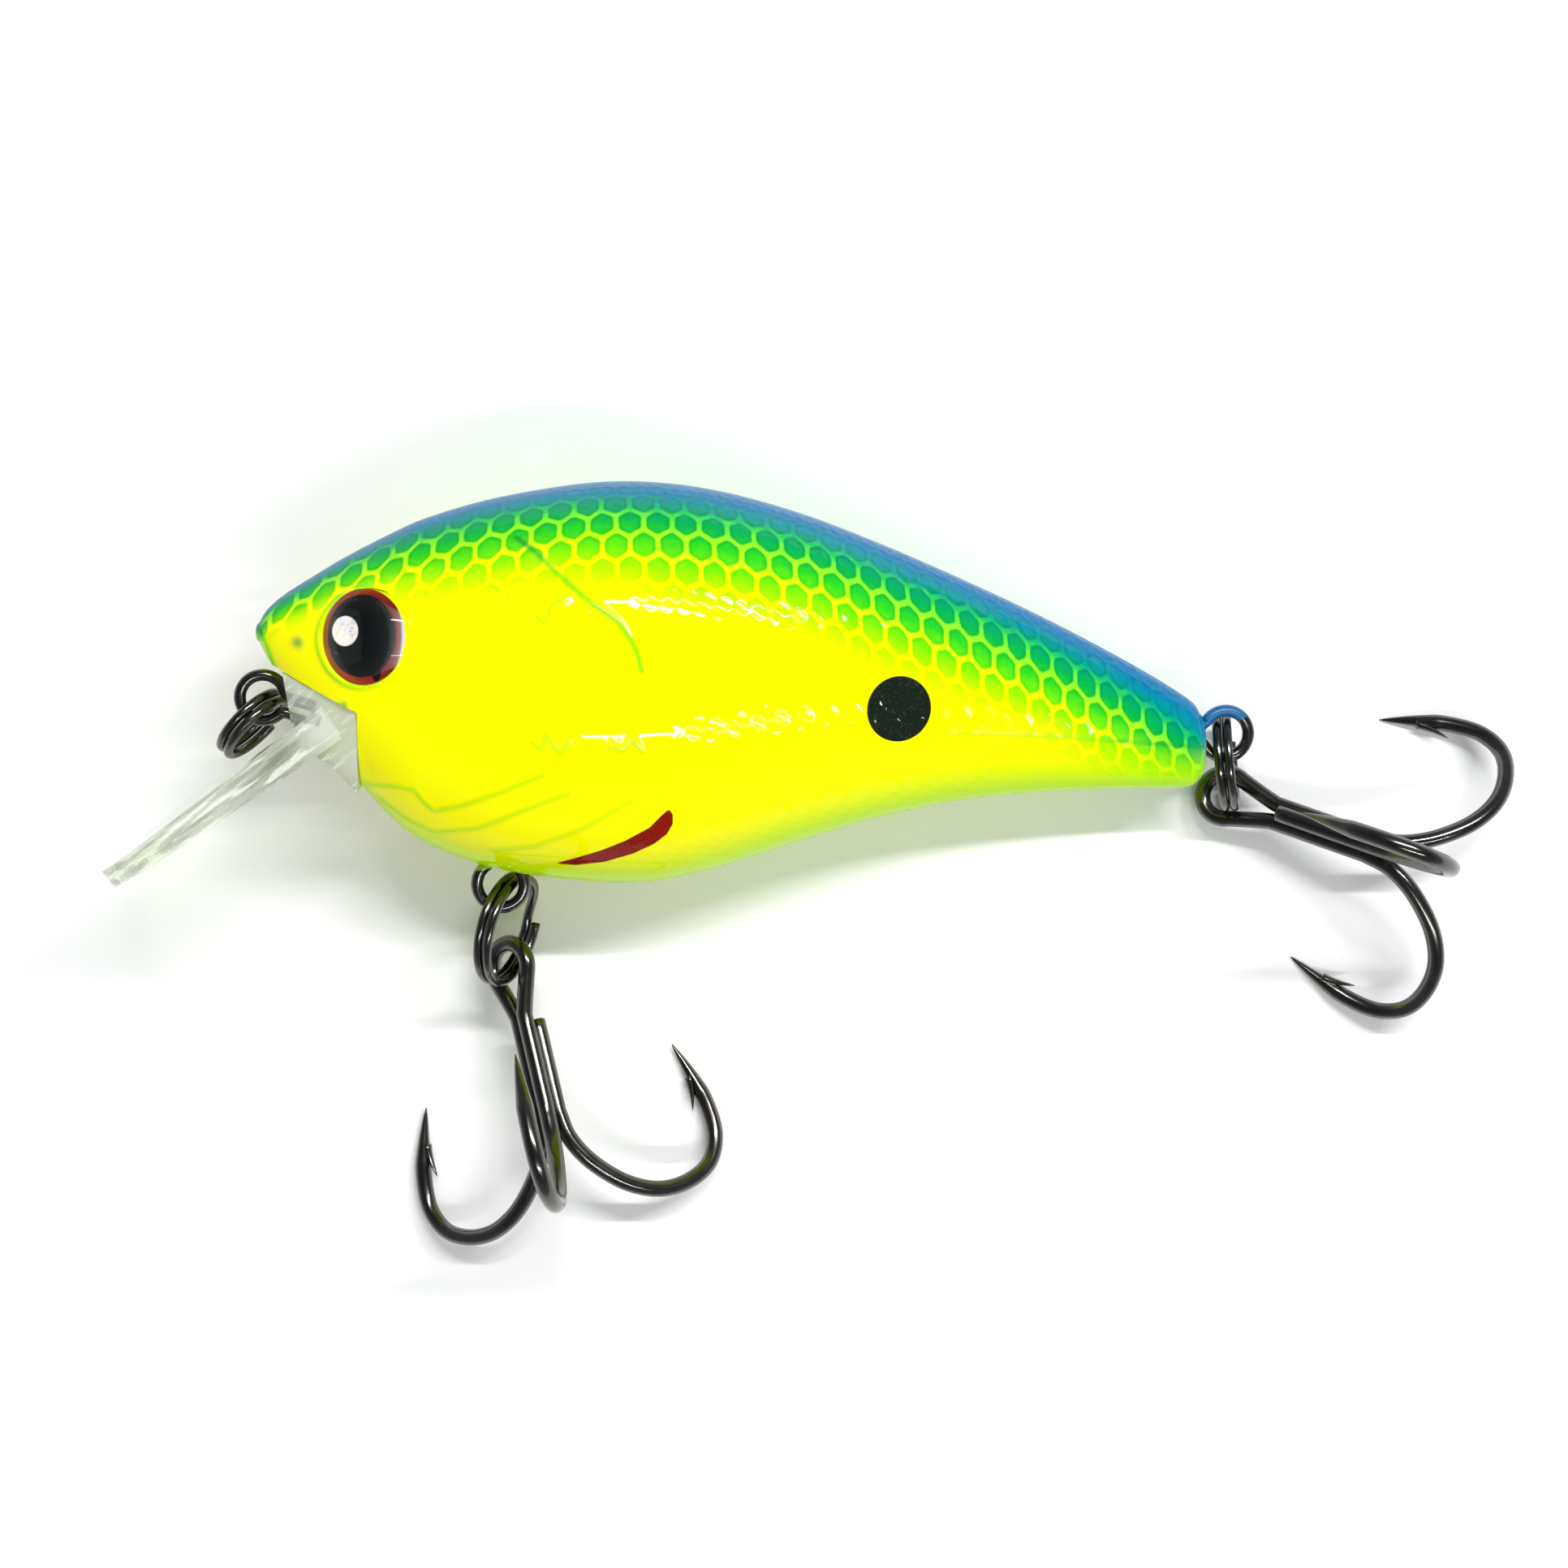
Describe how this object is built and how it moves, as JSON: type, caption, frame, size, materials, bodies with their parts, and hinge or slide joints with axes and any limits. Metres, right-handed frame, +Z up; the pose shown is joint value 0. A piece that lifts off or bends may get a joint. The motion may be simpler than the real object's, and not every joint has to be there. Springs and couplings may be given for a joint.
{
  "type": "fishing lure",
  "caption": "Short fat minnow-shaped lure with a square clear diving lip, a split ring at the line tie, and treble hooks on split rings under the belly and tail.",
  "frame": {"origin": "on the surface the lure lies on, below the middle of its outline", "axes": "+X from the nose towards the tail, +Y across the lying lure from belly to back, +Z up, out of the left flank"},
  "size_m": [0.0839, 0.0457, 0.0174],
  "materials": {
    "painted_body": "gloss chartreuse fading to green and blue along the back",
    "clear_plastic": "clear moulded plastic",
    "black_nickel": "bright black nickel plating",
    "eye_foil": "printed foil, dark red iris and black pupil",
    "steel_ball": "plain bright steel",
    "lead": "plain cast lead"
  },
  "bodies": {
    "lure_body": {"left_body_shell": "painted_body", "right_body_shell": "painted_body", "diving_lip": "clear_plastic", "line_tie_wire": "black_nickel", "belly_hanger": "black_nickel", "tail_hanger": "black_nickel", "left_eye_disc": "eye_foil", "left_eye_dome": "clear_plastic", "right_eye_disc": "eye_foil", "right_eye_dome": "clear_plastic", "belly_ballast": "lead"},
    "line_tie_ring": {"line_tie_split_ring": "black_nickel"},
    "belly_ring": {"belly_split_ring": "black_nickel"},
    "belly_treble": {"belly_treble_double_hook": "black_nickel", "belly_treble_single_hook": "black_nickel"},
    "tail_ring": {"tail_split_ring": "black_nickel"},
    "tail_treble": {"tail_treble_double_hook": "black_nickel", "tail_treble_single_hook": "black_nickel"},
    "front_rattle": {"rattle_ball_front": "steel_ball"},
    "rear_rattle": {"rattle_ball_rear": "steel_ball"}
  },
  "joints": [
    {"name": "line_tie_ring_swing", "type": "hinge", "parent": "lure_body", "child": "line_tie_ring", "pos_m": [-0.03255, 0.01026, 0.01031], "axis": [0.0863, -0.1392, 0.9865], "range_deg": [-110, 0]},
    {"name": "belly_ring_swing", "type": "hinge", "parent": "lure_body", "child": "belly_ring", "pos_m": [-0.01905, -0.00065, 0.00759], "axis": [0.0863, -0.1392, 0.9865], "range_deg": [-40, 20]},
    {"name": "belly_treble_swing", "type": "hinge", "parent": "belly_ring", "child": "belly_treble", "pos_m": [-0.01895, -0.00581, 0.00368], "axis": [0.0863, -0.1392, 0.9865], "range_deg": [-12, 30]},
    {"name": "tail_ring_swing", "type": "hinge", "parent": "lure_body", "child": "tail_ring", "pos_m": [0.02412, 0.00826, 0.00507], "axis": [0.0863, -0.1392, 0.9865], "range_deg": [-15, 45]},
    {"name": "tail_treble_swing", "type": "hinge", "parent": "tail_ring", "child": "tail_treble", "pos_m": [0.02471, 0.00453, 0.00168], "axis": [0.0863, -0.1392, 0.9865], "range_deg": [-20, 40]},
    {"name": "front_rattle_slide", "type": "slide", "parent": "lure_body", "child": "front_rattle", "axis": [0.0863, -0.1392, 0.9865], "range_m": [0, 0.0056]},
    {"name": "rear_rattle_slide", "type": "slide", "parent": "lure_body", "child": "rear_rattle", "axis": [0.0863, -0.1392, 0.9865], "range_m": [0, 0.0056]}
  ]
}
